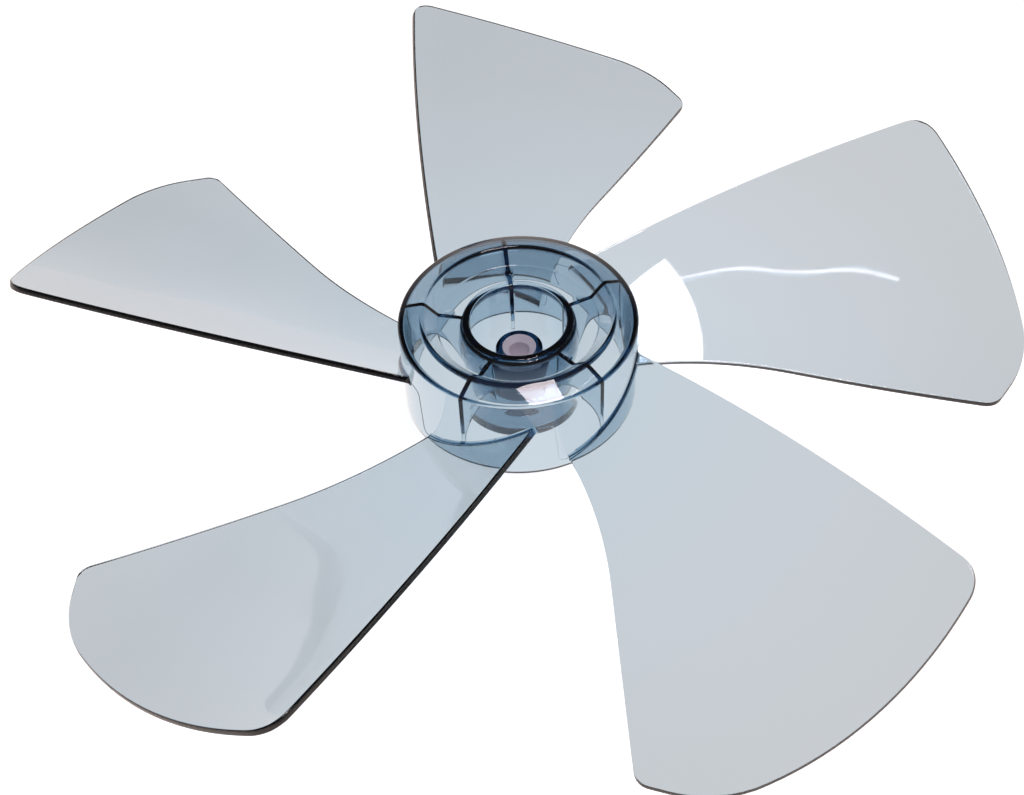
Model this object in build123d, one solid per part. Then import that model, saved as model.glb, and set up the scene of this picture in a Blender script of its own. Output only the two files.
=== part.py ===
"""Five-blade axial fan impeller, moulded in one piece around a shaft bush.

Millimetres. +Z is the axis of rotation and points to the front, where the air leaves.
The functions work from the plane of the hub's rear rim, and the exported parts are moved
so that the origin lies on the axis at the seat of the shaft's drive pin. Seen from the
front the impeller turns clockwise: each blade's leading edge is low, near the rear rim,
and its trailing edge is high, in front of the hub's shoulder.
"""
import math
import os

from build123d import *
from build123d.topology import SkipClean

# Hub shell
hub_radius = 45.2
hub_wall = 2.5
shoulder_height = 37.0
shoulder_round = 2.2

# Front cap, from the shoulder inwards: a cone up to the ridge, a slope down to the dish
ridge_radius = 36.0
ridge_rise = 3.4
ridge_break = 0.7
dish_radius = 30.4
dish_drop = 2.0

# Spinner recess: a ring round its mouth, a drafted tube and a floor at the rear
ring_radius = 21.1
ring_wall = 2.8
ring_lip = 1.1
ring_break = 0.5
tube_foot_radius = 20.5
tube_foot_wall = 2.4
floor_thickness = 2.6

# Boss and the bush moulded into it
boss_radius = 9.0
boss_height = 21.2
bush_radius = 6.4
bush_stand = 0.5
funnel_depth = 2.1
shaft_bore_radius = 4.03
pin_slot_width = 4.8
pin_slot_length = 15.0
pin_slot_depth = 6.0

# Ribs between the tube and the shell, each with a round arch at the rear
rib_count = 5
rib_azimuth = 24.0
rib_thickness = 1.9
rib_foot_height = 11.0
rib_foot = 0.4

# Blades. A blade's own frame has x along the blade and y towards the trailing edge
blade_count = 5
blade_azimuth = 14.0
blade_thickness = 2.4
blade_edge_break = 0.6

# Outline in plan, with azimuths about the impeller's axis. The flare's end and the round at
# the start of the tip are shares of the blade's length, and the corners lie inside the tip
# circle by their insets
tip_radius = 198.3
tip_half_angle = 15.8
tip_corner_inset = 2.9
lead_root_azimuth = -10.9
lead_flare_share = 0.397
lead_flare_azimuth = -16.5
lead_corner_inset = 17.3
lead_corner_azimuth = -22.2
trail_root_azimuth = 46.3
trail_bulge = 2.9
lead_corner_round = 6.8
tip_start_round_share = 0.3266
trail_corner_round = 11.3

# Front surface: at three stations along the blade, the height above the rear rim of both
# ends of the chord, and the depth of the parabolic camber between them. The inner station
# lies inside the hub and the outer one inside the tip circle, the middle one half way
inner_station_inset = 5.2
outer_station_inset = 8.3
lead_height = (10.4, 4.9, 6.8)
trail_height = (27.5, 37.2, 46.3)
camber = (0.9, 4.7, 10.8)
sheet_margin = 1.0


def polar(radius, azimuth):
    """Plan point at a radius and an azimuth in degrees."""
    angle = math.radians(azimuth)
    return Vector(radius * math.cos(angle), radius * math.sin(angle))


def blade_length():
    """From the hub's wall to the tip circle."""
    return tip_radius - hub_radius


def flare_end():
    """Where the curve of the leading edge ends and its straight stretch begins."""
    return polar(hub_radius + blade_length() * lead_flare_share, lead_flare_azimuth)


def lead_corner():
    """Sharp corner between the leading edge and the tip."""
    return polar(tip_radius - lead_corner_inset, lead_corner_azimuth)


def tip_end(side):
    """End of the tip's arc, before (-1) or behind (1) the middle of the blade."""
    return polar(tip_radius - tip_corner_inset, side * tip_half_angle)


def along_blade(heights, x):
    """Parabola through the heights at the three stations."""
    inner = hub_radius - inner_station_inset
    outer = tip_radius - outer_station_inset
    middle = (inner + outer) / 2
    first, second, third = heights
    return (
        first * (x - middle) * (x - outer) / ((inner - middle) * (inner - outer))
        + second * (x - inner) * (x - outer) / ((middle - inner) * (middle - outer))
        + third * (x - inner) * (x - middle) / ((outer - inner) * (outer - middle))
    )


def on_line(start, end, x):
    """Height in plan, at x, of the straight line through two plan points."""
    return start.Y + (end.Y - start.Y) * (x - start.X) / (end.X - start.X)


def front_point(x, share):
    """Point of the front surface at x, a share of the chord behind the leading edge."""
    lead_y = on_line(flare_end(), lead_corner(), x)
    trail_y = on_line(polar(hub_radius, trail_root_azimuth), tip_end(1), x)
    low = along_blade(lead_height, x)
    high = along_blade(trail_height, x)
    sag = 4 * along_blade(camber, x) * share * (1 - share)
    return Vector(x, lead_y + (trail_y - lead_y) * share, low + (high - low) * share - sag)


def pull_middle(first, middle, last):
    """Control point that takes a parabola from first to last through middle."""
    return middle * 2 - (first + last) / 2


def blade_sheet():
    """Front surface of a blade, larger than its outline all round, as one smooth patch."""
    root_x = hub_radius * math.cos(math.radians(trail_root_azimuth)) / 2
    tip_x = tip_radius * 1.1
    rows = []
    for x in (root_x, (root_x + tip_x) / 2, tip_x):
        before = front_point(x, -sheet_margin)
        beyond = front_point(x, 1 + sheet_margin)
        rows.append([before, pull_middle(before, front_point(x, 0.5), beyond), beyond])
    rows[1] = [pull_middle(*column) for column in zip(*rows)]
    return Face.make_bezier_surface(rows)


def blade_outline():
    """Blade seen from the front, in its own frame. The root ends inside the shell's wall."""
    root_radius = hub_radius - hub_wall / 2
    lead_root = polar(root_radius, lead_root_azimuth)
    flare = flare_end()
    corner = lead_corner()
    tip_lead = tip_end(-1)
    tip_trail = tip_end(1)
    trail_root = polar(root_radius, trail_root_azimuth)
    chord = trail_root - tip_trail
    bulge = Vector(chord.Y, -chord.X).normalized() * trail_bulge
    edges = [
        TangentArc(flare, lead_root, tangent=flare - corner),
        Line(flare, corner),
        Line(corner, tip_lead),
        ThreePointArc(tip_lead, Vector(tip_radius, 0), tip_trail),
        ThreePointArc(tip_trail, (tip_trail + trail_root) / 2 + bulge, trail_root),
        ThreePointArc(
            trail_root,
            polar(root_radius, (trail_root_azimuth + lead_root_azimuth) / 2),
            lead_root,
        ),
    ]
    outline = make_face(edges)
    rounds = (
        (corner, lead_corner_round),
        (tip_lead, blade_length() * tip_start_round_share),
        (tip_trail, trail_corner_round),
    )
    for place, radius in rounds:
        vertex = outline.vertices().sort_by_distance(place)[0]
        outline = fillet(vertex, radius)
    return outline


def blade():
    """One blade, of even thickness square to its front surface, its rim edges broken.

    The trimmed front keeps each edge of its outline apart, which the later steps need.
    """
    prism = extrude(blade_outline(), 4 * shoulder_height, both=True)
    with SkipClean():
        front = blade_sheet().intersect(prism).faces().sort_by(SortBy.AREA)[-1]
    solid = Solid.thicken(front, -blade_thickness, normal_override=(0, 0, 1))
    rims = []
    for edge in solid.edges():
        middle = edge @ 0.5
        if math.hypot(middle.X, middle.Y) > hub_radius and edge.length > 1.5 * blade_thickness:
            rims.append(edge)
    return solid.chamfer(blade_edge_break, None, rims)


def corner_at(profile, radius, height):
    """Corner of a radial section nearest to a radius and a height."""
    place = Plane.XZ.from_local_coords((radius, height))
    return profile.vertices().sort_by_distance(place)[0]


def section(*points):
    """Radial section through points given as radius and height."""
    return make_face(Plane.XZ * Polyline(*points, close=True))


def cap_line():
    """Front of the cap as radius and height, from the shoulder in to the ring."""
    dish_height = shoulder_height - dish_drop
    return [
        (hub_radius, shoulder_height),
        (ridge_radius, shoulder_height + ridge_rise),
        (dish_radius, dish_height),
        (ring_radius - ring_wall / 2, dish_height),
    ]


def inner_line(points, depth):
    """Line at an even depth below another one that runs inwards along the cap."""
    shifted = []
    for start, end in zip(points, points[1:]):
        run = Vector(*end) - Vector(*start)
        across = Vector(-run.Y, run.X).normalized() * depth
        shifted.append((Vector(*start) + across, Vector(*end) + across))
    corners = []
    for (a, b), (c, d) in zip(shifted, shifted[1:]):
        first = b - a
        second = d - c
        reach = ((c - a).X * second.Y - (c - a).Y * second.X) / (
            first.X * second.Y - first.Y * second.X
        )
        corner = a + first * reach
        corners.append((corner.X, corner.Y))
    return corners


def shell():
    """Outer wall and cap, one even wall from the rear rim over the shoulder to the ring."""
    front = [(hub_radius, 0)] + cap_line()
    back = inner_line(front, hub_wall)
    end_radius, end_height = front[-1]
    points = front + [(end_radius, end_height - hub_wall)] + back[::-1]
    points.append((hub_radius - hub_wall, 0))
    profile = section(*points)
    profile = fillet(corner_at(profile, *front[1]), shoulder_round)
    profile = chamfer(corner_at(profile, *front[2]), ridge_break)
    return revolve(profile, Axis.Z)


def core():
    """Ring, recess tube, floor and boss, with the bush's seat through them."""
    lip_height = shoulder_height - dish_drop + ring_lip
    floor_top = floor_thickness
    points = [
        (bush_radius, 0),
        (tube_foot_radius, 0),
        (ring_radius, shoulder_height - dish_drop),
        (ring_radius, lip_height),
        (ring_radius - ring_wall, lip_height),
        (tube_foot_radius - tube_foot_wall, floor_top),
        (boss_radius, floor_top),
        (boss_radius, boss_height),
        (bush_radius, boss_height),
    ]
    profile = section(*points)
    for radius, height in (
        (ring_radius, lip_height),
        (ring_radius - ring_wall, lip_height),
        (boss_radius, boss_height),
    ):
        profile = chamfer(corner_at(profile, radius, height), ring_break)
    return revolve(profile, Axis.Z)


def rib():
    """One rib from the tube to the shell, with a round arch open to the rear."""
    under = inner_line([(hub_radius, 0)] + cap_line(), hub_wall / 2)
    outer = hub_radius - hub_wall / 2
    inner = ring_radius - ring_wall / 2
    points = [(outer, rib_foot_height)] + under + [(inner, under[-1][1]), (inner, rib_foot_height)]
    tube_outside = tube_foot_radius + (ring_radius - tube_foot_radius) * rib_foot_height / (
        shoulder_height - dish_drop
    )
    shell_inside = hub_radius - hub_wall
    arch = Plane.XZ * Pos((tube_outside + shell_inside) / 2, rib_foot_height) * Circle(
        (shell_inside - tube_outside) / 2 - rib_foot
    )
    return extrude(section(*points) - arch, rib_thickness / 2, both=True)


def around(count, azimuth, item):
    """Copies of an item evenly round the axis, the first at an azimuth."""
    return [Rot(0, 0, azimuth + 360 * i / count) * item for i in range(count)]


def pin_slot():
    """Cross slot in the rear of the boss for the shaft's drive pin."""
    return Box(pin_slot_length, pin_slot_width, 2 * pin_slot_depth)


def bush():
    """Bush moulded into the boss, bored for the shaft, with a funnel at the front."""
    top = boss_height + bush_stand
    points = [
        (shaft_bore_radius, 0),
        (bush_radius, 0),
        (bush_radius, top),
        (shaft_bore_radius + funnel_depth, top),
        (shaft_bore_radius, top - funnel_depth),
    ]
    return revolve(section(*points), Axis.Z) - pin_slot()


def impeller():
    """The whole moulding."""
    body = shell() + core()
    body += around(rib_count, rib_azimuth, rib())
    body += around(blade_count, blade_azimuth, blade())
    return body - pin_slot()


os.makedirs("parts", exist_ok=True)
seat = Pos(0, 0, -pin_slot_depth)
export_step(seat * impeller(), "parts/impeller.step")
export_step(seat * bush(), "parts/shaft_bush.step")
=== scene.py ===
import math

import bmesh
import bpy
from bpy.props import FloatProperty, FloatVectorProperty, IntProperty, PointerProperty
from mathutils import Matrix, Vector


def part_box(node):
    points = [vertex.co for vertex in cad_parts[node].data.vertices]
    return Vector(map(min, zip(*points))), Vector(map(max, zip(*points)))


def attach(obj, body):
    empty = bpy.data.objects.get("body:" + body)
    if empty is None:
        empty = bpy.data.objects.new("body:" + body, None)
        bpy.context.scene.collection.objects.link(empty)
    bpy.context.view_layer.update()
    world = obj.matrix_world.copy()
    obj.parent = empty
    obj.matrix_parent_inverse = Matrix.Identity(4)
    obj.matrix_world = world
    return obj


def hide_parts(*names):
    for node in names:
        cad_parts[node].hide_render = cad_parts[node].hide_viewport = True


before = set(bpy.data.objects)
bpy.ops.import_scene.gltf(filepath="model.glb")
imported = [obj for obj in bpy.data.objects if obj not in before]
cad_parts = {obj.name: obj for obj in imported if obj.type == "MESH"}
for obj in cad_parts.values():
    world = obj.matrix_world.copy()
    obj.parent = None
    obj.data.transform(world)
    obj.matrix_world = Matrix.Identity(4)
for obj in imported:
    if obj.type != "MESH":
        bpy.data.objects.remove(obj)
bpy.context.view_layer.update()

bl_info = {
    "name": "Transparent Fan Impeller",
    "version": (1, 0, 0),
    "blender": (4, 5, 0),
    "location": "View3D > Sidebar > Impeller",
    "description": "Builds a transparent five-blade axial fan impeller in its studio",
    "category": "Add Mesh",
}

MM = 0.001
REAR_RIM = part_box("impeller")[0].z
BUSH_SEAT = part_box("shaft_bush")[1].x
WELD = 0.001 * MM

# Angle in radians past which an edge is rounded.
SHARP = 1.0

# Numbers of faces, steps and passes.
ARCH_STEPS = 28
RIB_ROWS = 4
LEAD_STEPS = 40
TIP_STEPS = 80
TRAIL_STEPS = 60
CORNER_STEPS = 16
PARTING_STEPS = 72
EASED_ROWS = 9
EASING_PASSES = 40

# Positions and linear colours of the light that reaches the plastic from below, painted into the
# floor's glow as a pool of light that dims away from the axis, against the distance from the axis in
# metres, and from the room, against the height of the direction.
PAINTED_FLOOR_LIGHT = (
    (0.04, (0.952, 0.880, 0.848)),
    (0.11, (0.976, 0.856, 0.808)),
    (0.19, (0.944, 0.808, 0.744)),
)
ROOM_LIGHT = (
    (0.0, (1.0, 0.9, 0.86)),
    (0.45, (0.05, 0.055, 0.07)),
    (0.8, (0.06, 0.065, 0.08)),
    (0.95, (0.22, 0.21, 0.24)),
)


def length(name, description, millimetres):
    """A length that a user may change, given in millimetres."""
    return FloatProperty(
        name=name,
        description=description,
        default=millimetres * MM,
        unit="LENGTH",
        precision=5,
    )


def angle(name, description, degrees):
    """An angle that a user may change, given in degrees."""
    return FloatProperty(
        name=name,
        description=description,
        default=math.radians(degrees),
        unit="ROTATION",
    )


def heights(name, description, inner, middle, outer):
    """Three lengths in millimetres, at the inner, middle and outer station."""
    return FloatVectorProperty(
        name=name,
        description=description,
        default=(inner * MM, middle * MM, outer * MM),
        unit="LENGTH",
        precision=5,
    )


def point(name, description, x, y, z):
    """A place in the part's frame, given in millimetres."""
    return FloatVectorProperty(
        name=name,
        description=description,
        default=(x * MM, y * MM, z * MM),
        subtype="TRANSLATION",
        unit="LENGTH",
    )


def colour(name, description, red, green, blue):
    """A linear colour that a user may change."""
    return FloatVectorProperty(
        name=name,
        description=description,
        default=(red, green, blue),
        subtype="COLOR",
        min=0.0,
        max=1.0,
    )


class HubSizes(bpy.types.PropertyGroup):
    """Sizes of the hub. Heights are above its rear rim."""

    radius: length("Radius", "Outside of the hub's wall", 45.2)
    wall: length("Wall", "Thickness of the wall and the cap", 2.5)
    shoulder: length("Shoulder", "Height where the wall turns into the cap", 37.0)
    shoulder_round: length("Shoulder round", "Radius that turns the wall into the cap", 1.2)
    ridge_radius: length("Ridge radius", "Circle of the cap's highest line", 36.0)
    ridge_rise: length("Ridge rise", "Height of the ridge above the shoulder", 3.4)
    dish_radius: length("Dish radius", "Circle where the slope meets the flat dish", 30.4)
    dish_drop: length("Dish drop", "Depth of the dish below the shoulder", 2.0)
    ring_radius: length("Ring radius", "Outside of the ring round the recess", 21.1)
    ring_wall: length("Ring wall", "Thickness of the ring", 2.8)
    ring_lip: length("Ring lip", "Height of the ring above the dish", 1.1)
    foot_radius: length("Tube foot radius", "Outside of the recess tube at the rear", 20.5)
    foot_wall: length("Tube foot wall", "Thickness of the recess tube at the rear", 2.4)
    floor: length("Floor", "Thickness of the recess floor", 2.6)
    boss_radius: length("Boss radius", "Outside of the boss", 9.0)
    boss_height: length("Boss height", "Height of the boss", 21.2)
    slot_width: length("Pin slot width", "Width of the drive pin's slot", 4.8)
    slot_length: length("Pin slot length", "Length of the drive pin's slot", 15.0)
    slot_depth: length("Pin slot depth", "Depth of the drive pin's slot", 6.0)
    turns: IntProperty(
        name="Steps round",
        description="Steps of the spin round the axis",
        default=180,
        min=60,
        max=360,
    )


class RibSizes(bpy.types.PropertyGroup):
    """Sizes of the ribs between the recess tube and the wall."""

    count: IntProperty(name="Count", description="Ribs round the hub", default=5, min=1)
    azimuth: angle("Azimuth", "Direction of the first rib", 24.0)
    thickness: length("Thickness", "Thickness of a rib", 1.9)
    foot_height: length("Foot height", "Height of a rib's feet above the rear rim", 11.0)
    foot: length("Foot", "Strip of rib left beside the arch at its feet", 0.4)
    foot_share: FloatProperty(
        name="Foot share",
        description="Thickness at the feet as a share of the thickness above",
        default=0.8,
        min=0.3,
        max=1.0,
    )
    edge_round: length("Edge round", "Rounding of a rib's edges", 0.15)
    gate_circle: length("Gate circle", "Circle of the gate marks on the dish", 26.5)
    gate_radius: length("Gate radius", "Radius of a gate mark", 1.7)
    gate_rise: length("Gate rise", "Height of a gate mark", 0.7)
    gate_round: length("Gate round", "Rounding of a gate mark", 0.45)


class BladeSizes(bpy.types.PropertyGroup):
    """Sizes of a blade, in its own frame with x along the blade."""

    count: IntProperty(name="Count", description="Blades round the hub", default=5, min=1)
    azimuth: angle("Azimuth", "Direction of the first blade", 14.0)
    thickness: length("Thickness", "Thickness square to the front surface", 2.4)
    edge_round: length("Edge round", "Rounding of the rim edges", 0.5)
    lead_root: angle("Leading root", "Azimuth where the leading edge meets the hub", -10.9)
    trail_root: angle("Trailing root", "Azimuth where the trailing edge meets the hub", 46.3)
    flare_radius: length("Flare radius", "Radius where the leading edge turns straight", 106.0)
    flare_azimuth: angle("Flare azimuth", "Azimuth where the leading edge turns straight", -16.5)
    corner_radius: length("Corner radius", "Radius of the leading corner", 181.0)
    corner_azimuth: angle("Corner azimuth", "Azimuth of the leading corner", -22.2)
    tip_corner: length("Tip corner", "Radius of both ends of the tip", 195.4)
    tip_half: angle("Tip half angle", "Half of the angle that the tip covers", 15.8)
    tip_apex: length("Tip apex", "Radius at the middle of the tip", 198.3)
    trail_bulge: length("Trailing bulge", "How far the trailing edge bows outwards", 2.9)
    corner_round: length("Corner round", "Rounding of the leading corner", 6.8)
    tip_round: length("Tip round", "Rounding where the tip begins", 50.0)
    trail_round: length("Trailing round", "Rounding of the trailing corner", 11.3)
    root_fillet: length("Root fillet", "Radius between the blade and the wall", 1.4)
    stations: heights("Stations", "Places along the blade of the heights", 40.0, 115.0, 190.0)
    lead: heights("Leading heights", "Height of the leading edge", 10.4, 4.9, 6.8)
    trail: heights("Trailing heights", "Height of the trailing edge", 27.5, 37.2, 46.3)
    camber: heights("Camber", "Depth of the camber below the chord", 0.9, 4.7, 10.8)
    columns: IntProperty(
        name="Columns",
        description="Faces across the blade",
        default=46,
        min=16,
        max=80,
    )


class PartingSizes(bpy.types.PropertyGroup):
    """Sizes of the fine lines that the mould's slides leave on the hub's wall."""

    width: length("Parting width", "Width of a parting line", 0.5)
    rise: length("Parting rise", "How far a parting line stands out of the wall", 0.22)
    high: length("Parting high", "Height of its upper stretch above the rear rim", 25.0)
    low: length("Parting low", "Height of its lower stretch above the rear rim", 2.9)
    turn: angle("Parting turn", "Where it turns down, behind the upper root", 8.6)
    lean: angle("Parting lean", "How far it runs round on its way down", 2.2)
    corner_round: length("Parting round", "Rounding of its two corners", 2.4)


class BushSizes(bpy.types.PropertyGroup):
    """Sizes of the bush in the boss."""

    bore_radius: length("Bore radius", "Radius of the bore that the shaft slides into", 4.03)
    radius: length("Radius", "Outer radius, a hair into the plastic round it", 6.42)
    stand: length("Stand", "How far the bush stands out of the boss", 0.5)
    funnel: length("Funnel", "Depth of the 45 degree mouth of the bore", 2.1)
    edge_break: length("Edge break", "Break of the outer corner", 0.15)
    turns: IntProperty(
        name="Steps round",
        description="Steps of the spin round the axis",
        default=120,
        min=60,
        max=360,
    )


class FinishColours(bpy.types.PropertyGroup):
    """Colours of the two plastics."""

    tint: colour("Tint", "What the clear plastic's depth takes out least", 0.2, 0.456, 0.617)
    density: FloatProperty(
        name="Absorption",
        description="How strongly the clear plastic absorbs, per metre",
        default=320.0,
        min=0.0,
    )
    bush: colour("Bush", "Colour of the moulded bush", 0.93, 0.89, 0.97)


class StageSizes(bpy.types.PropertyGroup):
    """Place of the camera, the lamps and the floor."""

    camera_place: point("Camera place", "Where the camera stands", 0.0, -447.57, 486.67)
    camera_aim: point("Camera aim", "Point that the camera looks at", -3.51, -21.25, 10.13)
    camera_roll: angle("Camera roll", "Turn of the camera about its view", -2.813)
    camera_lens: FloatProperty(name="Lens", description="Focal length", default=59.87)
    softbox_start: point("Softbox start", "One end of its middle line", 129.8, -129.5, 600.0)
    softbox_end: point("Softbox end", "Other end of its middle line", 42.8, 65.5, 600.0)
    softbox_width: length("Softbox width", "Width of the softbox", 145.0)
    softbox_colour: colour("Softbox colour", "Colour of the softbox", 1.0, 0.87, 0.9)
    softbox_radiance: FloatProperty(
        name="Softbox radiance", description="Brightness of the softbox", default=12.0, min=0.0
    )
    strip_start: point("Strip start", "One end of the strip lamp", 176.3, -66.0, 600.0)
    strip_end: point("Strip end", "Other end of the strip lamp", 302.0, 103.5, 600.0)
    strip_width: length("Strip width", "Width of the strip lamp", 3.6)
    strip_colour: colour("Strip colour", "Colour of the strip lamp", 1.0, 0.95, 1.0)
    strip_radiance: FloatProperty(
        name="Strip radiance", description="Brightness of the strip lamp", default=8.0, min=0.0
    )
    floor_size: length("Floor size", "Side of the square floor", 6000.0)
    floor_gap: length("Floor gap", "Gap between the floor and the rear rim", 0.3)


def pick_none():
    """Leave nothing selected, because an operator acts on all that is."""
    if bpy.context.mode != "OBJECT":
        bpy.ops.object.mode_set(mode="OBJECT")
    bpy.ops.object.select_all(action="DESELECT")


def activate(piece):
    """Make a piece the only one selected, and the active one."""
    pick_none()
    piece.select_set(True)
    bpy.context.view_layer.objects.active = piece


def open_mesh(piece, select="DESELECT"):
    """Open a piece in edit mode with all or none of it selected."""
    activate(piece)
    bpy.ops.object.mode_set(mode="EDIT")
    bpy.ops.mesh.select_mode(type="VERT")
    bpy.ops.mesh.select_all(action=select)
    return bmesh.from_edit_mesh(piece.data)


def close_mesh():
    """Leave edit mode."""
    bpy.ops.object.mode_set(mode="OBJECT")


def wire(name, corners):
    """Closed wire through the corners of a radial section, begun from a circle."""
    pick_none()
    bpy.ops.mesh.primitive_circle_add(vertices=len(corners), radius=1.0)
    piece = bpy.context.object
    piece.name = name
    for vertex, (radius, height) in zip(piece.data.vertices, corners):
        vertex.co = (radius, 0.0, REAR_RIM + height)
    return piece


def round_wire(piece, radius, height, rounding, segments):
    """Round the corner of a wire nearest to a radius and a height above the rear rim."""
    mesh = open_mesh(piece)
    place = Vector((radius, 0.0, REAR_RIM + height))
    corner = min(mesh.verts, key=lambda vertex: (vertex.co - place).length)
    sides = [edge.other_vert(corner).co - corner.co for edge in corner.link_edges]
    turn = math.pi - sides[0].angle(sides[1])
    corner.select_set(True)
    bpy.ops.mesh.bevel(
        affect="VERTICES", offset=rounding * math.tan(turn / 2), segments=segments
    )
    close_mesh()


def spin_wire(piece, steps):
    """Turn a closed wire round the axis into a closed solid."""
    open_mesh(piece, "SELECT")
    bpy.ops.mesh.spin(steps=steps, angle=2 * math.pi, center=(0, 0, 0), axis=(0, 0, 1))
    bpy.ops.mesh.select_all(action="SELECT")
    bpy.ops.mesh.remove_doubles(threshold=WELD)
    bpy.ops.mesh.normals_make_consistent(inside=False)
    close_mesh()


def apply_modifier(piece, kind, **settings):
    """Add a modifier, set it and apply it."""
    activate(piece)
    bpy.ops.object.modifier_add(type=kind)
    modifier = piece.modifiers[-1]
    for name, value in settings.items():
        setattr(modifier, name, value)
    bpy.ops.object.modifier_apply(modifier=modifier.name)


def turned_copy(piece, turn):
    """Copy of a piece with its own mesh, turned round the axis."""
    activate(piece)
    bpy.ops.object.duplicate()
    copy = bpy.context.object
    copy.rotation_euler.z = turn
    bpy.ops.object.transform_apply(location=True, rotation=True, scale=True)
    return copy


def ring_of_copies(piece, count, azimuth):
    """Replace a piece by copies of it spaced evenly round the axis, the first at an azimuth."""
    made = []
    for index in range(count):
        made.append(turned_copy(piece, azimuth + 2 * math.pi * index / count))
    bpy.data.objects.remove(piece)
    return made


def inner_line(points, depth):
    """Corners of the line at an even depth below one that runs up and inwards."""
    shifted = []
    for start, end in zip(points, points[1:]):
        run = Vector(end) - Vector(start)
        across = Vector((-run.y, run.x)).normalized() * depth
        shifted.append((Vector(start) + across, Vector(end) + across))
    corners = []
    for (a, b), (c, d) in zip(shifted, shifted[1:]):
        first = b - a
        second = d - c
        reach = (c - a).cross(second) / first.cross(second)
        corners.append(tuple(a + first * reach))
    return corners


def cap_line(hub):
    """Front of the hub as radius and height, from the rear rim in to the ring."""
    return [
        (hub.radius, 0.0),
        (hub.radius, hub.shoulder),
        (hub.ridge_radius, hub.shoulder + hub.ridge_rise),
        (hub.dish_radius, hub.shoulder - hub.dish_drop),
        (hub.ring_radius, hub.shoulder - hub.dish_drop),
    ]


def height_on(line, radius):
    """Height of a line of radius and height corners at a radius."""
    for (r0, z0), (r1, z1) in zip(line, line[1:]):
        if min(r0, r1) <= radius <= max(r0, r1) and r0 != r1:
            return z0 + (z1 - z0) * (radius - r0) / (r1 - r0)
    return line[-1][1] if radius < line[-1][0] else line[1][1]


def between(start, end, steps):
    """Points spaced evenly between two corners, the first one included."""
    first = Vector(start)
    run = Vector(end) - first
    return [tuple(first + run * step / steps) for step in range(steps)]


def model_hub(hub):
    """Wall, cap, ring, recess tube, floor and boss, spun from one closed section."""
    front = cap_line(hub)
    under = inner_line(front, hub.wall)
    lip = hub.shoulder - hub.dish_drop + hub.ring_lip
    tube_top = (hub.ring_radius, under[-1][1])
    corners = (
        between(front[0], front[1], 12)
        + front[1:]
        + [
            (hub.ring_radius, lip),
            (hub.ring_radius - hub.ring_wall, lip),
            (hub.foot_radius - hub.foot_wall, hub.floor),
            (hub.boss_radius, hub.floor),
            (hub.boss_radius, hub.boss_height),
            (BUSH_SEAT, hub.boss_height),
            (BUSH_SEAT, 0.0),
            (hub.foot_radius, 0.0),
        ]
        + [tube_top]
        + under[::-1]
        + [(hub.radius - hub.wall, 0.0)]
    )
    piece = wire("impeller_moulding", corners)
    # Radius and height of each corner, its rounding and the number of faces across it.
    rounds = [
        (*front[0], 0.4 * MM, 2),
        (*front[1], hub.shoulder_round, 8),
        (*front[2], 1.2 * MM, 5),
        (*front[3], 1.0 * MM, 4),
        (*front[4], 0.4 * MM, 2),
        (hub.ring_radius, lip, 0.7 * MM, 4),
        (hub.ring_radius - hub.ring_wall, lip, 0.7 * MM, 4),
        (hub.foot_radius - hub.foot_wall, hub.floor, 1.2 * MM, 4),
        (hub.boss_radius, hub.floor, 0.8 * MM, 3),
        (hub.boss_radius, hub.boss_height, 0.6 * MM, 4),
        (hub.foot_radius, 0.0, 0.5 * MM, 2),
        (*tube_top, 0.8 * MM, 3),
        (*under[2], 1.2 * MM, 4),
        (*under[1], 1.2 * MM, 4),
        (*under[0], 1.0 * MM, 4),
        (hub.radius - hub.wall, 0.0, 0.4 * MM, 2),
    ]
    for radius, height, rounding, segments in rounds:
        round_wire(piece, radius, height, rounding, segments)
    spin_wire(piece, hub.turns)
    return piece


def rib_underside(hub, ribs):
    """Lower edge of a rib as radius and height: two feet with a round arch between them."""
    lift = ribs.foot_height / (hub.shoulder - hub.dish_drop)
    tube = hub.foot_radius + (hub.ring_radius - hub.foot_radius) * lift
    wall = hub.radius - hub.wall
    centre = (tube + wall) / 2
    arch = (wall - tube) / 2 - ribs.foot
    lower = [(hub.ring_radius - hub.ring_wall / 2, ribs.foot_height)]
    for step in range(ARCH_STEPS + 1):
        turn = math.pi * step / ARCH_STEPS
        lower.append((centre - arch * math.cos(turn), ribs.foot_height + arch * math.sin(turn)))
    lower.append((hub.radius - hub.wall / 2, ribs.foot_height))
    return lower


def model_ribs(hub, ribs):
    """Ribs, each from a grid between its underside and the middle of the cap."""
    lower = rib_underside(hub, ribs)
    middle = inner_line(cap_line(hub), hub.wall / 2)
    inner = lower[0][0]
    outer = lower[-1][0]
    upper = [(outer, middle[0][1])] + middle + [(inner, middle[-1][1])]
    columns = len(lower) - 1
    pick_none()
    bpy.ops.mesh.primitive_grid_add(x_subdivisions=columns, y_subdivisions=RIB_ROWS, size=2.0)
    rib = bpy.context.object
    rib.name = "rib"
    for vertex in rib.data.vertices:
        column = round((vertex.co.x + 1) / 2 * columns)
        share = (vertex.co.y + 1) / 2
        radius, low = lower[column]
        top = height_on(upper, radius)
        vertex.co = (radius, 0.0, REAR_RIM + low + (top - low) * share)
    apply_modifier(rib, "SOLIDIFY", thickness=ribs.thickness, offset=0.0)
    foot = REAR_RIM + ribs.foot_height
    for vertex in rib.data.vertices:
        lift = (vertex.co.z - foot) / hub.shoulder
        vertex.co.y *= ribs.foot_share + (1 - ribs.foot_share) * lift
    apply_modifier(
        rib, "BEVEL", width=ribs.edge_round, segments=2, limit_method="ANGLE", angle_limit=SHARP
    )
    return ring_of_copies(rib, ribs.count, ribs.azimuth)


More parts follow.
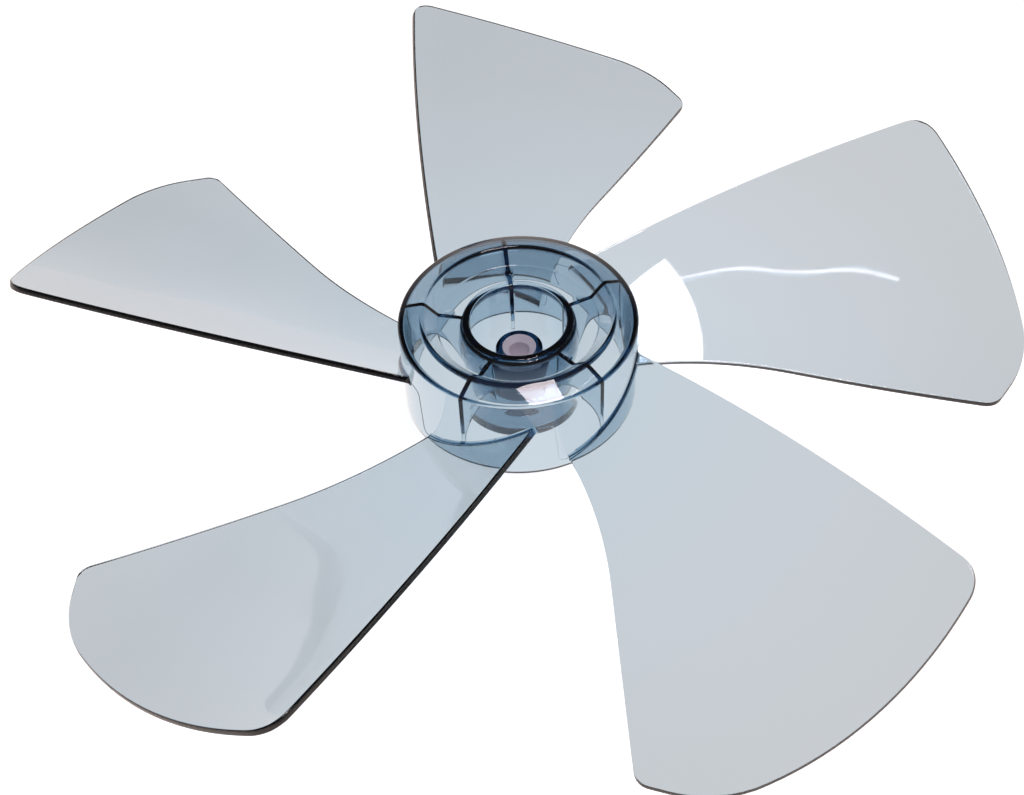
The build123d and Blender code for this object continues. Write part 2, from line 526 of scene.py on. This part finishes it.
def model_gate_marks(hub, ribs):
    """Low round marks on the dish, one above each rib."""
    dish = REAR_RIM + hub.shoulder - hub.dish_drop
    pick_none()
    bpy.ops.mesh.primitive_cylinder_add(
        vertices=24,
        radius=ribs.gate_radius,
        depth=2 * ribs.gate_rise + hub.wall / 2,
        location=(ribs.gate_circle, 0.0, dish - hub.wall / 4),
    )
    mark = bpy.context.object
    mark.name = "gate_mark"
    bpy.ops.object.transform_apply(location=True, rotation=True, scale=True)
    apply_modifier(
        mark, "BEVEL", width=ribs.gate_round, segments=3, limit_method="ANGLE", angle_limit=SHARP
    )
    return ring_of_copies(mark, ribs.count, ribs.azimuth)


def plan(radius, azimuth):
    """Plan point at a radius and an azimuth."""
    return Vector((radius * math.cos(azimuth), radius * math.sin(azimuth)))


def parabola(places, values, x):
    """Parabola through three values at three places."""
    total = 0.0
    for i, (place, value) in enumerate(zip(places, values)):
        for j, other in enumerate(places):
            if j != i:
                value *= (x - other) / (place - other)
        total += value
    return total


def on_line(start, end, x):
    """Height in plan, at x, of the straight line through two plan points."""
    return start.y + (end.y - start.y) * (x - start.x) / (end.x - start.x)


def front_height(hub, blade, x, y):
    """Height of a blade's front surface above the rear rim."""
    lead_y = on_line(
        plan(blade.flare_radius, blade.flare_azimuth),
        plan(blade.corner_radius, blade.corner_azimuth),
        x,
    )
    trail_y = on_line(
        plan(hub.radius, blade.trail_root), plan(blade.tip_corner, blade.tip_half), x
    )
    share = (y - lead_y) / (trail_y - lead_y)
    low = parabola(blade.stations, blade.lead, x)
    high = parabola(blade.stations, blade.trail, x)
    sag = 4 * parabola(blade.stations, blade.camber, x) * share * (1 - share)
    return low + (high - low) * share - sag


def arc_from(centre, start, end, steps):
    """Points of the shorter arc about a centre from start to end."""
    first = start - centre
    last = end - centre
    sweep = math.atan2(first.x * last.y - first.y * last.x, first.dot(last))
    points = []
    for step in range(steps + 1):
        turn = Matrix.Rotation(sweep * step / steps, 2)
        points.append(centre + turn @ first)
    return points


def tangent_arc(start, end, heading, steps):
    """Arc from start that reaches end along a heading."""
    across = Vector((-heading.y, heading.x)).normalized()
    back = start - end
    centre = end + across * back.length_squared / (2 * across.dot(back))
    return arc_from(centre, start, end, steps)


def bowed_arc(start, end, bow, steps):
    """Arc from start to end that bows to the right of the way between them."""
    chord = end - start
    right = Vector((chord.y, -chord.x)).normalized()
    radius = (chord.length_squared / 4 + bow * bow) / (2 * bow)
    centre = (start + end) / 2 + right * (bow - radius)
    return arc_from(centre, start, end, steps)


def lengths_along(points):
    """Distance along a line of points, at each of them."""
    total = [0.0]
    for start, end in zip(points, points[1:]):
        total.append(total[-1] + (end - start).length)
    return total


def point_at(points, distance):
    """Point at a distance along a line of points."""
    total = lengths_along(points)
    distance = min(max(distance, 0.0), total[-1])
    for index in range(len(points) - 1):
        if distance <= total[index + 1]:
            span = total[index + 1] - total[index]
            share = (distance - total[index]) / span if span else 0.0
            return points[index].lerp(points[index + 1], share)
    return points[-1].copy()


def cut_line(points, start, end):
    """Stretch of a line of points between two distances along it."""
    total = lengths_along(points)
    kept = [point for point, at in zip(points, total) if start < at < end]
    return [point_at(points, start)] + kept + [point_at(points, end)]


def join_rounded(first, second, rounding):
    """Two lines that meet, with the corner between them rounded, and the corner's middle."""
    corner = first[-1]
    inward = (corner - first[-2]).normalized()
    outward = (second[1] - corner).normalized()
    turn = inward.angle(outward)
    reach = rounding * math.tan(turn / 2)
    first_length = lengths_along(first)[-1]
    before = cut_line(first, 0.0, first_length - reach)
    after = cut_line(second, reach, lengths_along(second)[-1])
    pull = reach * 4 / 3 * math.tan(turn / 4) / math.tan(turn / 2)
    start = before[-1]
    end = after[0]
    start_hand = start + (corner - start).normalized() * pull
    end_hand = end + (corner - end).normalized() * pull
    bend = []
    for step in range(1, CORNER_STEPS):
        t = step / CORNER_STEPS
        bend.append(
            start * (1 - t) ** 3
            + start_hand * 3 * t * (1 - t) ** 2
            + end_hand * 3 * t * t * (1 - t)
            + end * t**3
        )
    middle = lengths_along(before + bend[: CORNER_STEPS // 2])[-1]
    return before + bend + after, middle


def blade_rim(hub, blade):
    """Outline of a blade in plan from root to root, and the distances of its two corners."""
    root_radius = hub.radius - hub.wall / 2
    flare = plan(blade.flare_radius, blade.flare_azimuth)
    corner = plan(blade.corner_radius, blade.corner_azimuth)
    tip_start = plan(blade.tip_corner, -blade.tip_half)
    tip_end = plan(blade.tip_corner, blade.tip_half)
    lead = tangent_arc(plan(root_radius, blade.lead_root), flare, corner - flare, LEAD_STEPS)
    lead.append(corner)
    bow = blade.tip_apex - tip_start.x
    trail_root = plan(root_radius, blade.trail_root)
    tip = bowed_arc(tip_start, tip_end, bow, TIP_STEPS)
    trail = bowed_arc(tip_end, trail_root, blade.trail_bulge, TRAIL_STEPS)
    rim, lead_mark = join_rounded(lead, [corner, tip_start], blade.corner_round)
    rim, _ = join_rounded(rim, tip, blade.tip_round)
    rim, trail_mark = join_rounded(rim, trail, blade.trail_round)
    return rim, lead_mark, trail_mark


def even_steps(total, first, start, growth, largest, last):
    """Distances from 0 to a total in steps that grow from each end to the largest."""
    places = [0.0, first]
    while places[-1] < total:
        done = places[-1] - first
        left = total - places[-1]
        places.append(places[-1] + min(start + growth * done, largest, last + growth * left))
    scale = (total - first) / (places[-1] - first)
    return [0.0] + [first + (place - first) * scale for place in places[1:]]


def open_corners(laid, last_row, last_column):
    """Ease the grid near its two outer corners, which lie flat on a rounded outline."""
    for _ in range(EASING_PASSES):
        for column, inward in ((0, 1), (last_column, -1)):
            for i in range(1, EASED_ROWS):
                for j in range(1, EASED_ROWS):
                    at = (last_row - i, column + j * inward)
                    around = (
                        laid[at[0] - 1, at[1]]
                        + laid[at[0] + 1, at[1]]
                        + laid[at[0], at[1] - 1]
                        + laid[at[0], at[1] + 1]
                    ) / 4
                    share = 1 - max(i, j) / EASED_ROWS
                    laid[at] = laid[at].lerp(around, share)


def lay_grid(hub, blade, rows):
    """Plan points of a blade's grid, laid between its four sides, by row and column."""
    rim, lead_mark, trail_mark = blade_rim(hub, blade)
    lead = cut_line(rim, 0.0, lead_mark)
    tip = cut_line(rim, lead_mark, trail_mark)
    trail = cut_line(rim, trail_mark, lengths_along(rim)[-1])[::-1]
    trail_total = lengths_along(trail)[-1]
    tip_total = lengths_along(tip)[-1]
    root_radius = hub.radius - hub.wall / 2
    root_span = blade.trail_root - blade.lead_root
    # Faces this wide along the rim leave room for the rounding of its edges.
    edge_step = blade.edge_round * 1.8
    laid = {}
    for i, distance in enumerate(rows):
        u = distance / rows[-1]
        lead_point = point_at(lead, distance)
        trail_point = point_at(trail, u * trail_total)
        # The tip's arc is about 6 percent longer than its chord.
        chord = (trail_point - lead_point).length * (1 + 0.06 * u)
        crowd = max(0.0, 1 - blade.columns * edge_step / chord)
        for j in range(blade.columns + 1):
            q = j / blade.columns
            v = q - crowd * math.sin(2 * math.pi * q) / (2 * math.pi)
            root_point = plan(root_radius, blade.lead_root + v * root_span)
            sides = lead_point.lerp(trail_point, v)
            ends = root_point.lerp(point_at(tip, v * tip_total), u)
            corners = lead[0].lerp(trail[0], v).lerp(tip[0].lerp(tip[-1], v), u)
            laid[i, j] = sides + ends - corners
    open_corners(laid, len(rows) - 1, blade.columns)
    return laid


def model_blade(hub, blade):
    """Blades, each from a grid laid on its front surface and thickened square to it."""
    _, lead_length, _ = blade_rim(hub, blade)
    rows = even_steps(
        lead_length,
        first=0.4 * hub.wall,
        start=0.2 * MM,
        growth=0.1,
        largest=2.6 * MM,
        last=1.0 * MM,
    )
    laid = lay_grid(hub, blade, rows)
    last_row = len(rows) - 1
    pick_none()
    bpy.ops.mesh.primitive_grid_add(
        x_subdivisions=last_row, y_subdivisions=blade.columns, size=2.0
    )
    piece = bpy.context.object
    piece.name = "blade"
    for vertex in piece.data.vertices:
        i = round((vertex.co.x + 1) / 2 * last_row)
        j = round((vertex.co.y + 1) / 2 * blade.columns)
        x, y = laid[i, j]
        vertex.co = (x, y, front_height(hub, blade, x, y))
    apply_modifier(
        piece,
        "SOLIDIFY",
        thickness=blade.thickness,
        offset=-1.0,
        use_even_offset=True,
        use_quality_normals=True,
    )
    swell_root(piece, hub, blade)
    apply_modifier(
        piece,
        "BEVEL",
        width=blade.edge_round,
        segments=3,
        limit_method="ANGLE",
        angle_limit=math.radians(60),
        use_clamp_overlap=False,
    )
    return ring_of_copies(piece, blade.count, blade.azimuth)


def swell_root(piece, hub, blade):
    """Raise a blade to the rear rim's height, and swell both its sides into the hub's wall."""
    for vertex in piece.data.vertices:
        x, y, z = vertex.co
        out = math.hypot(x, y) - hub.radius
        swell = max(0.0, 1 - max(0.0, out) / blade.root_fillet)
        rise = blade.root_fillet * (1 - math.sqrt(1 - swell * swell))
        is_front = abs(z - front_height(hub, blade, x, y)) < blade.thickness / 3
        vertex.co.z = REAR_RIM + z + (rise if is_front else -rise)


def cut_slot(piece, hub):
    """Cut the slot for the drive pin across the rear of the boss or the bush."""
    pick_none()
    bpy.ops.mesh.primitive_cube_add(size=1.0, location=(0, 0, REAR_RIM))
    slot = bpy.context.object
    slot.scale = (hub.slot_length, hub.slot_width, 2 * hub.slot_depth)
    bpy.ops.object.transform_apply(location=True, rotation=True, scale=True)
    unite(piece, [slot], "DIFFERENCE")


def model_parting_lines(hub, blade, parting):
    """Fine lines from each blade's upper root round to the next blade's lower root."""
    wall = hub.radius
    span = 2 * math.pi / blade.count + blade.lead_root - blade.trail_root
    turn = parting.turn * wall
    lower_turn = (parting.turn + parting.lean) * wall
    over = Vector((0.0, parting.high))
    corner = Vector((turn, parting.high))
    lower_corner = Vector((lower_turn, parting.low))
    end = Vector((span * wall, parting.low + 0.7 * blade.thickness))
    path, _ = join_rounded([over, corner], [corner, lower_corner], parting.corner_round)
    path, _ = join_rounded(path, [lower_corner, end], parting.corner_round)
    total = lengths_along(path)[-1]
    nudge = 0.2 * MM
    pick_none()
    bpy.ops.mesh.primitive_grid_add(x_subdivisions=PARTING_STEPS, y_subdivisions=2, size=2.0)
    piece = bpy.context.object
    piece.name = "parting_line"
    for vertex in piece.data.vertices:
        along = (vertex.co.x + 1) / 2 * total
        ahead = point_at(path, along + nudge) - point_at(path, along - nudge)
        across = Vector((-ahead.y, ahead.x)).normalized() * vertex.co.y * parting.width / 2
        place = point_at(path, along) + across
        azimuth = blade.trail_root + place.x / wall
        # The middle stands out by 0.7 of the rise and both sides run into the wall.
        crown = wall + parting.rise * (0.7 - abs(vertex.co.y))
        vertex.co = (*plan(crown, azimuth), REAR_RIM + place.y)
    apply_modifier(piece, "SOLIDIFY", thickness=parting.width, offset=-1.0)
    open_mesh(piece, "SELECT")
    bpy.ops.mesh.normals_make_consistent(inside=False)
    close_mesh()
    return ring_of_copies(piece, blade.count, blade.azimuth)


def unite(piece, others, operation="UNION"):
    """Join other closed pieces with this one, or cut them out of it, and remove them."""
    pool = bpy.data.collections.new("operands")
    bpy.context.scene.collection.children.link(pool)
    for other in others:
        pool.objects.link(other)
    apply_modifier(
        piece,
        "BOOLEAN",
        operation=operation,
        operand_type="COLLECTION",
        collection=pool,
        solver="EXACT",
    )
    for other in others:
        bpy.data.objects.remove(other)
    bpy.data.collections.remove(pool)


def add_bush(hub, bush):
    """The turned and funnelled bush that the shaft slides into, before the pin's slot is cut."""
    inner = bush.bore_radius
    outer = bush.radius
    top = hub.boss_height + bush.stand
    mouth = inner + bush.funnel
    loop = wire(
        "shaft_bush_moulding",
        [
            (inner, 0.0),
            (outer, 0.0),
            (outer, top - bush.edge_break),
            (outer - bush.edge_break, top),
            (mouth, top),
            (inner, top - bush.funnel),
        ],
    )
    spin_wire(loop, bush.turns)
    return loop


def node(tree, kind, place, **values):
    """A shader node at a place in the editor, with its properties set by name."""
    made = tree.nodes.new(kind)
    made.location = place
    for name, value in values.items():
        setattr(made, name, value)
    return made


def empty_material(name):
    """A material with only its output node."""
    material = bpy.data.materials.new(name)
    material.use_nodes = True
    tree = material.node_tree
    tree.nodes.clear()
    output = node(tree, "ShaderNodeOutputMaterial", (600, 0))
    return material, tree, output


def moulded_surface():
    """Group that waves a moulded surface a little and varies its gloss."""
    group = bpy.data.node_groups.get("moulded_surface")
    if group:
        return group
    group = bpy.data.node_groups.new("moulded_surface", "ShaderNodeTree")
    for name in ("Wave Scale", "Wave Depth", "Grain Scale", "Grain Depth", "Gloss Low", "Gloss High"):
        group.interface.new_socket(name=name, in_out="INPUT", socket_type="NodeSocketFloat")
    group.interface.new_socket(name="Roughness", in_out="OUTPUT", socket_type="NodeSocketFloat")
    group.interface.new_socket(name="Normal", in_out="OUTPUT", socket_type="NodeSocketVector")
    given = node(group, "NodeGroupInput", (-900, 0))
    result = node(group, "NodeGroupOutput", (600, 0))
    place = node(group, "ShaderNodeTexCoord", (-900, 300))
    wave = node(group, "ShaderNodeTexNoise", (-600, 300))
    wave.inputs["Detail"].default_value = 0.0
    grain = node(group, "ShaderNodeTexNoise", (-600, 0))
    grain.inputs["Detail"].default_value = 1.0
    for texture, scale in ((wave, "Wave Scale"), (grain, "Grain Scale")):
        group.links.new(place.outputs["Object"], texture.inputs["Vector"])
        group.links.new(given.outputs[scale], texture.inputs["Scale"])
    gloss = node(group, "ShaderNodeMapRange", (0, -200))
    group.links.new(grain.outputs["Fac"], gloss.inputs["Value"])
    group.links.new(given.outputs["Gloss Low"], gloss.inputs["To Min"])
    group.links.new(given.outputs["Gloss High"], gloss.inputs["To Max"])
    group.links.new(gloss.outputs["Result"], result.inputs["Roughness"])
    coarse = node(group, "ShaderNodeBump", (0, 300))
    fine = node(group, "ShaderNodeBump", (300, 100))
    for bump, texture, depth in ((coarse, wave, "Wave Depth"), (fine, grain, "Grain Depth")):
        group.links.new(texture.outputs["Fac"], bump.inputs["Height"])
        group.links.new(given.outputs[depth], bump.inputs["Distance"])
    group.links.new(coarse.outputs["Normal"], fine.inputs["Normal"])
    group.links.new(fine.outputs["Normal"], result.inputs["Normal"])
    return group


def surface_of(tree, body, waves, grain, gloss):
    """Put the moulded surface in a material: scale and depth of each, lowest and highest gloss."""
    surface = node(tree, "ShaderNodeGroup", (-300, -100))
    surface.node_tree = moulded_surface()
    values = {
        "Wave Scale": waves[0],
        "Wave Depth": waves[1],
        "Grain Scale": grain[0],
        "Grain Depth": grain[1],
        "Gloss Low": gloss[0],
        "Gloss High": gloss[1],
    }
    for name, value in values.items():
        surface.inputs[name].default_value = value
    tree.links.new(surface.outputs["Roughness"], body.inputs["Roughness"])
    tree.links.new(surface.outputs["Normal"], body.inputs["Normal"])


def clear_plastic(colours):
    """Tinted clear plastic: its colour is in its depth, and its shadow is light."""
    material, tree, output = empty_material("clear_plastic")
    body = node(tree, "ShaderNodeBsdfPrincipled", (0, 0))
    body.inputs["Base Color"].default_value = (1.0, 1.0, 1.0, 1.0)
    body.inputs["IOR"].default_value = 1.57
    body.inputs["Transmission Weight"].default_value = 1.0
    surface_of(tree, body, waves=(22.0, 0.0004), grain=(160.0, 0.0), gloss=(0.012, 0.045))
    shade = node(tree, "ShaderNodeBsdfTransparent", (0, -400))
    shade.inputs["Color"].default_value = (0.95, 0.96, 0.97, 1.0)
    path = node(tree, "ShaderNodeLightPath", (0, 400))
    mix = node(tree, "ShaderNodeMixShader", (350, 0))
    tree.links.new(path.outputs["Is Shadow Ray"], mix.inputs["Fac"])
    tree.links.new(body.outputs["BSDF"], mix.inputs[1])
    tree.links.new(shade.outputs["BSDF"], mix.inputs[2])
    tree.links.new(mix.outputs["Shader"], output.inputs["Surface"])
    depth = node(tree, "ShaderNodeVolumeAbsorption", (350, -300))
    depth.inputs["Color"].default_value = (*colours.tint, 1.0)
    depth.inputs["Density"].default_value = colours.density
    tree.links.new(depth.outputs["Volume"], output.inputs["Volume"])
    return material


def bush_plastic(colours):
    """Opaque satin plastic of the bush, with a fine grain and a slight change of shade."""
    material, tree, output = empty_material("bush_plastic")
    body = node(tree, "ShaderNodeBsdfPrincipled", (0, 0))
    surface_of(tree, body, waves=(90.0, 0.00004), grain=(2600.0, 0.00003), gloss=(0.34, 0.5))
    place = node(tree, "ShaderNodeTexCoord", (-900, 300))
    cloud = node(tree, "ShaderNodeTexNoise", (-700, 300))
    cloud.inputs["Scale"].default_value = 180.0
    tree.links.new(place.outputs["Object"], cloud.inputs["Vector"])
    shades = node(tree, "ShaderNodeValToRGB", (-450, 300))
    darker = tuple(channel * 0.93 for channel in colours.bush)
    set_stops(shades, ((0.35, darker), (0.65, tuple(colours.bush))))
    tree.links.new(cloud.outputs["Fac"], shades.inputs["Fac"])
    tree.links.new(shades.outputs["Color"], body.inputs["Base Color"])
    tree.links.new(body.outputs["BSDF"], output.inputs["Surface"])
    return material


def finish_piece(piece, material, cad_node, seam):
    """Give a piece its material and shading, and let it stand for its CAD node."""
    piece.data.materials.clear()
    piece.data.materials.append(material)
    activate(piece)
    bpy.ops.object.shade_smooth_by_angle(angle=seam)
    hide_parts(cad_node)
    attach(piece, "root")


class FAN_OT_moulding(bpy.types.Operator):
    """Model the transparent moulding: hub, ribs, gate marks, parting lines and blades"""

    bl_idname = "fan.moulding"
    bl_label = "Moulding"

    def execute(self, context):
        scene = context.scene
        hub = scene.fan_hub
        moulding = model_hub(hub)
        cut_slot(moulding, hub)
        others = model_ribs(hub, scene.fan_ribs)
        others += model_gate_marks(hub, scene.fan_ribs)
        others += model_parting_lines(hub, scene.fan_blades, scene.fan_parting)
        others += model_blade(hub, scene.fan_blades)
        unite(moulding, others)
        finish_piece(moulding, clear_plastic(scene.fan_finish), "impeller", math.radians(32))
        return {"FINISHED"}


class FAN_OT_bush(bpy.types.Operator):
    """Model the bush that the shaft slides into"""

    bl_idname = "fan.bush"
    bl_label = "Bush"

    def execute(self, context):
        scene = context.scene
        piece = add_bush(scene.fan_hub, scene.fan_bush)
        cut_slot(piece, scene.fan_hub)
        finish_piece(piece, bush_plastic(scene.fan_finish), "shaft_bush", math.radians(30))
        return {"FINISHED"}


def backlit_floor():
    """White with a faint shadow to the camera; to what shines through, a backlight with a painted
    pool of light that dims away from the axis.
    """
    material, tree, output = empty_material("studio_floor")
    white = node(tree, "ShaderNodeBsdfDiffuse", (0, 0))
    white.inputs["Color"].default_value = (0.9, 0.9, 0.9, 1.0)
    lift = node(tree, "ShaderNodeEmission", (0, -150))
    lift.inputs["Color"].default_value = (1.0, 1.0, 1.0, 1.0)
    lift.inputs["Strength"].default_value = 0.86
    seen = node(tree, "ShaderNodeAddShader", (250, 0))
    tree.links.new(white.outputs["BSDF"], seen.inputs[0])
    tree.links.new(lift.outputs["Emission"], seen.inputs[1])
    # The glow that every ray but the camera's sees is a painted pool of light: brightest near the
    # axis, dimmer and warmer towards the blade tips.
    place = node(tree, "ShaderNodeTexCoord", (-900, -350))
    reach = node(tree, "ShaderNodeVectorMath", (-700, -350), operation="LENGTH")
    tree.links.new(place.outputs["Object"], reach.inputs[0])
    shades = node(tree, "ShaderNodeValToRGB", (-400, -350))
    set_stops(shades, PAINTED_FLOOR_LIGHT)
    tree.links.new(reach.outputs["Value"], shades.inputs["Fac"])
    through = node(tree, "ShaderNodeEmission", (0, -350))
    through.inputs["Strength"].default_value = 1.25
    tree.links.new(shades.outputs["Color"], through.inputs["Color"])
    path = node(tree, "ShaderNodeLightPath", (250, 350))
    mix = node(tree, "ShaderNodeMixShader", (450, 0))
    tree.links.new(path.outputs["Is Camera Ray"], mix.inputs["Fac"])
    tree.links.new(through.outputs["Emission"], mix.inputs[1])
    tree.links.new(seen.outputs["Shader"], mix.inputs[2])
    tree.links.new(mix.outputs["Shader"], output.inputs["Surface"])
    return material


def set_stops(ramp, stops):
    """Give a colour ramp its stops, each a position and a colour."""
    elements = ramp.color_ramp.elements
    while len(elements) < len(stops):
        elements.new(1.0)
    for element, (position, shade) in zip(elements, stops):
        element.position = position
        element.color = (*shade, 1.0)


def add_floor(stage):
    """A pale floor just under the rear rim."""
    pick_none()
    height = REAR_RIM - stage.floor_gap
    bpy.ops.mesh.primitive_plane_add(size=stage.floor_size, location=(0, 0, height))
    floor = bpy.context.object
    floor.name = "studio_floor"
    floor.data.materials.append(backlit_floor())


def studio_world():
    """White to the camera, and to the rest a dark room with a light horizon and ceiling."""
    world = bpy.data.worlds.new("studio_world")
    bpy.context.scene.world = world
    world.use_nodes = True
    tree = world.node_tree
    tree.nodes.clear()
    output = node(tree, "ShaderNodeOutputWorld", (900, 0))
    place = node(tree, "ShaderNodeTexCoord", (-600, 0))
    parts = node(tree, "ShaderNodeSeparateXYZ", (-400, 0))
    ramp = node(tree, "ShaderNodeValToRGB", (-200, 0))
    set_stops(ramp, ROOM_LIGHT)
    tree.links.new(place.outputs["Generated"], parts.inputs["Vector"])
    tree.links.new(parts.outputs["Z"], ramp.inputs["Fac"])
    room = node(tree, "ShaderNodeBackground", (200, 0))
    tree.links.new(ramp.outputs["Color"], room.inputs["Color"])
    white = node(tree, "ShaderNodeBackground", (200, -200))
    white.inputs["Color"].default_value = (1.0, 1.0, 1.0, 1.0)
    path = node(tree, "ShaderNodeLightPath", (200, 400))
    mix = node(tree, "ShaderNodeMixShader", (600, 0))
    tree.links.new(path.outputs["Is Camera Ray"], mix.inputs["Fac"])
    tree.links.new(room.outputs["Background"], mix.inputs[1])
    tree.links.new(white.outputs["Background"], mix.inputs[2])
    tree.links.new(mix.outputs["Shader"], output.inputs["Surface"])


def aim(camera, place, target, roll):
    """Stand a camera at a place and turn it towards a target, rolled about its view."""
    back = (Vector(place) - Vector(target)).normalized()
    side = Vector((0, 0, 1)).cross(back).normalized()
    over = back.cross(side)
    turn = Matrix((side, over, back)).transposed() @ Matrix.Rotation(roll, 3, "Z")
    camera.matrix_world = Matrix.Translation(place) @ turn.to_4x4()


def add_lamp(name, start, end, width, radiance, shade):
    """A flat lamp that shines down, along a line at one height, of an even radiance."""
    start = Vector(start)
    end = Vector(end)
    run = end - start
    pick_none()
    bpy.ops.object.light_add(type="AREA")
    lamp = bpy.context.object
    lamp.name = name
    lamp.data.shape = "RECTANGLE"
    lamp.data.size = run.length
    lamp.data.size_y = width
    lamp.data.energy = radiance * math.pi * run.length * width
    lamp.data.color = shade
    lamp.location = (start + end) / 2
    lamp.rotation_euler.z = math.atan2(run.y, run.x)


class FAN_OT_stage(bpy.types.Operator):
    """Set up the floor, the two lamps, the room and the camera"""

    bl_idname = "fan.stage"
    bl_label = "Stage"

    def execute(self, context):
        stage = context.scene.fan_stage
        add_floor(stage)
        studio_world()
        add_lamp(
            "softbox",
            stage.softbox_start,
            stage.softbox_end,
            stage.softbox_width,
            stage.softbox_radiance,
            stage.softbox_colour,
        )
        add_lamp(
            "strip_lamp",
            stage.strip_start,
            stage.strip_end,
            stage.strip_width,
            stage.strip_radiance,
            stage.strip_colour,
        )
        pick_none()
        bpy.ops.object.camera_add()
        camera = context.object
        camera.name = "studio_camera"
        camera.data.lens = stage.camera_lens
        camera.data.sensor_width = 36.0
        camera.data.clip_end = 50.0
        aim(camera, stage.camera_place, stage.camera_aim, stage.camera_roll)
        context.scene.camera = camera
        context.scene.view_settings.view_transform = "Standard"
        return {"FINISHED"}


class FAN_PT_panel(bpy.types.Panel):
    """Sizes and steps of the impeller"""

    bl_label = "Impeller"
    bl_idname = "FAN_PT_panel"
    bl_space_type = "VIEW_3D"
    bl_region_type = "UI"
    bl_category = "Impeller"

    def draw(self, context):
        for name, title in GROUPS:
            box = self.layout.box()
            box.label(text=title)
            group = getattr(context.scene, name)
            for size in group.bl_rna.properties:
                if size.identifier not in ("rna_type", "name"):
                    box.prop(group, size.identifier)
        for step in STEPS:
            self.layout.operator("fan." + step)


GROUPS = (
    ("fan_hub", "Hub"),
    ("fan_ribs", "Ribs"),
    ("fan_blades", "Blades"),
    ("fan_parting", "Parting lines"),
    ("fan_bush", "Bush"),
    ("fan_finish", "Finish"),
    ("fan_stage", "Stage"),
)

STEPS = ("moulding", "bush", "stage")

CLASSES = (
    HubSizes,
    RibSizes,
    BladeSizes,
    PartingSizes,
    BushSizes,
    FinishColours,
    StageSizes,
    FAN_OT_moulding,
    FAN_OT_bush,
    FAN_OT_stage,
    FAN_PT_panel,
)


def register():
    """Add the classes, and a group of each kind of size to the scene."""
    for kind in CLASSES:
        bpy.utils.register_class(kind)
    scene = bpy.types.Scene
    scene.fan_hub = PointerProperty(type=HubSizes)
    scene.fan_ribs = PointerProperty(type=RibSizes)
    scene.fan_blades = PointerProperty(type=BladeSizes)
    scene.fan_parting = PointerProperty(type=PartingSizes)
    scene.fan_bush = PointerProperty(type=BushSizes)
    scene.fan_finish = PointerProperty(type=FinishColours)
    scene.fan_stage = PointerProperty(type=StageSizes)


def unregister():
    """Take the groups and the classes out again."""
    for name, _ in GROUPS:
        delattr(bpy.types.Scene, name)
    for kind in reversed(CLASSES):
        bpy.utils.unregister_class(kind)


def main():
    """Build everything in order."""
    register()
    for step in STEPS:
        getattr(bpy.ops.fan, step)()


if __name__ == "__main__":
    main()
